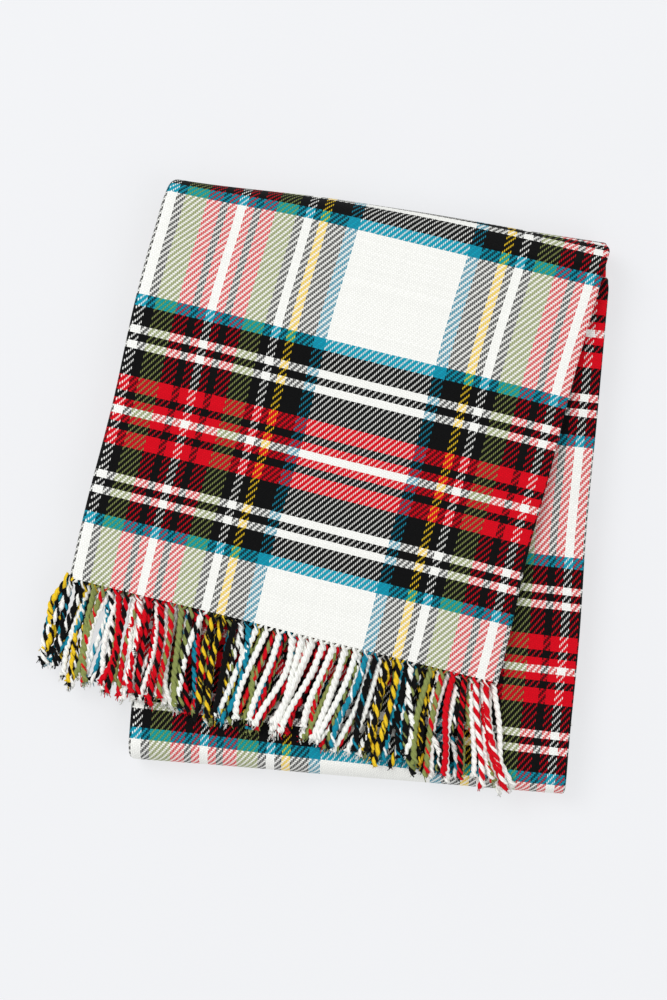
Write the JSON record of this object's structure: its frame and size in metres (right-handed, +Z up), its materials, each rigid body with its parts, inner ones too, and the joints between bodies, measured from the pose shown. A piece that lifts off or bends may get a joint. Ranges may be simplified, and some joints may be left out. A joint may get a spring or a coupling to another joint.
{
  "type": "folded camp blanket",
  "caption": "Fringed wool camp blanket in dress tartan, folded into a thick pad, with a top flap that unrolls backwards and rests flat.",
  "frame": {"origin": "centre of the underside that the folded blanket rests on, halfway between its front fold and the line the flap opens about", "axes": "+X across the folded strip towards its selvedge side, +Y back towards the fold that the flap opens about, +Z up"},
  "size_m": [0.3822, 0.4261, 0.0399],
  "materials": {
    "tartan_cloth": "2/2 twill wool, white ground dress tartan with azure, black, red, gold and sage stripes",
    "tartan_fold": "the same wool twill where it turns over a fold",
    "twisted_fringe": "two-ply twisted wool tassels in the warp colours, knotted and frayed at the tip"
  },
  "bodies": {
    "stack": {"bottom_panel_ply_1": "tartan_cloth", "bottom_panel_ply_2": "tartan_cloth", "bottom_panel_ply_3": "tartan_cloth", "bottom_panel_ply_4": "tartan_cloth", "bottom_panel_left_outer_fold": "tartan_fold", "bottom_panel_left_inner_fold": "tartan_fold", "bottom_panel_right_fold": "tartan_fold", "inner_panel_ply_1": "tartan_cloth", "inner_panel_ply_2": "tartan_cloth", "inner_panel_ply_3": "tartan_cloth", "inner_panel_ply_4": "tartan_cloth", "inner_panel_left_outer_fold": "tartan_fold", "inner_panel_left_inner_fold": "tartan_fold", "inner_panel_right_fold": "tartan_fold", "top_panel_ply_1": "tartan_cloth", "top_panel_ply_2": "tartan_cloth", "top_panel_ply_3": "tartan_cloth", "top_panel_ply_4": "tartan_cloth", "top_panel_left_outer_fold": "tartan_fold", "top_panel_left_inner_fold": "tartan_fold", "top_panel_right_fold": "tartan_fold", "front_fold_ply_1": "tartan_fold", "front_fold_ply_2": "tartan_fold", "front_fold_ply_3": "tartan_fold", "front_fold_ply_4": "tartan_fold", "inner_fold_ply_1": "tartan_fold", "inner_fold_ply_2": "tartan_fold", "inner_fold_ply_3": "tartan_fold", "inner_fold_ply_4": "tartan_fold", "inner_panel_fringe_row_1": "twisted_fringe", "inner_panel_fringe_row_2": "twisted_fringe", "inner_panel_fringe_row_3": "twisted_fringe", "inner_panel_fringe_row_4": "twisted_fringe"},
    "fold_1": {"back_fold_slat_1": "tartan_fold"},
    "fold_2": {"back_fold_slat_2": "tartan_fold"},
    "fold_3": {"back_fold_slat_3": "tartan_fold"},
    "fold_4": {"back_fold_slat_4": "tartan_fold"},
    "fold_5": {"back_fold_slat_5": "tartan_fold"},
    "flap": {"flap_ply_1": "tartan_cloth", "flap_ply_2": "tartan_cloth", "flap_ply_3": "tartan_cloth", "flap_ply_4": "tartan_cloth", "flap_left_outer_fold": "tartan_fold", "flap_left_inner_fold": "tartan_fold", "flap_right_fold": "tartan_fold", "flap_fringe_row_1": "twisted_fringe", "flap_fringe_row_2": "twisted_fringe", "flap_fringe_row_3": "twisted_fringe", "flap_fringe_row_4": "twisted_fringe"}
  },
  "joints": [
    {"name": "flap_unroll", "type": "hinge", "parent": "stack", "child": "fold_1", "pos_m": [0, 0.198, 0.00985], "axis": [-0.9969, 0.0785, 0], "range_deg": [0, 30]},
    {"name": "flap_unroll_2", "type": "hinge", "parent": "fold_1", "child": "fold_2", "pos_m": [0.00037, 0.20267, 0.01256], "axis": [-0.9969, 0.0785, 0], "range_deg": [0, 30]},
    {"name": "flap_unroll_3", "type": "hinge", "parent": "fold_2", "child": "fold_3", "pos_m": [0.00058, 0.20537, 0.01724], "axis": [-0.9969, 0.0785, 0], "range_deg": [0, 30]},
    {"name": "flap_unroll_4", "type": "hinge", "parent": "fold_3", "child": "fold_4", "pos_m": [0.00058, 0.20537, 0.02266], "axis": [-0.9969, 0.0785, 0], "range_deg": [0, 30]},
    {"name": "flap_unroll_5", "type": "hinge", "parent": "fold_4", "child": "fold_5", "pos_m": [0.00037, 0.20267, 0.02734], "axis": [-0.9969, 0.0785, 0], "range_deg": [0, 30]},
    {"name": "flap_unroll_6", "type": "hinge", "parent": "fold_5", "child": "flap", "pos_m": [0, 0.198, 0.03005], "axis": [-0.9969, 0.0785, 0], "range_deg": [0, 30]}
  ],
  "couplings": [
    {"joint": "flap_unroll_2", "follows": "flap_unroll", "ratio": 1},
    {"joint": "flap_unroll_3", "follows": "flap_unroll", "ratio": 1},
    {"joint": "flap_unroll_4", "follows": "flap_unroll", "ratio": 1},
    {"joint": "flap_unroll_5", "follows": "flap_unroll", "ratio": 1},
    {"joint": "flap_unroll_6", "follows": "flap_unroll", "ratio": 1}
  ]
}
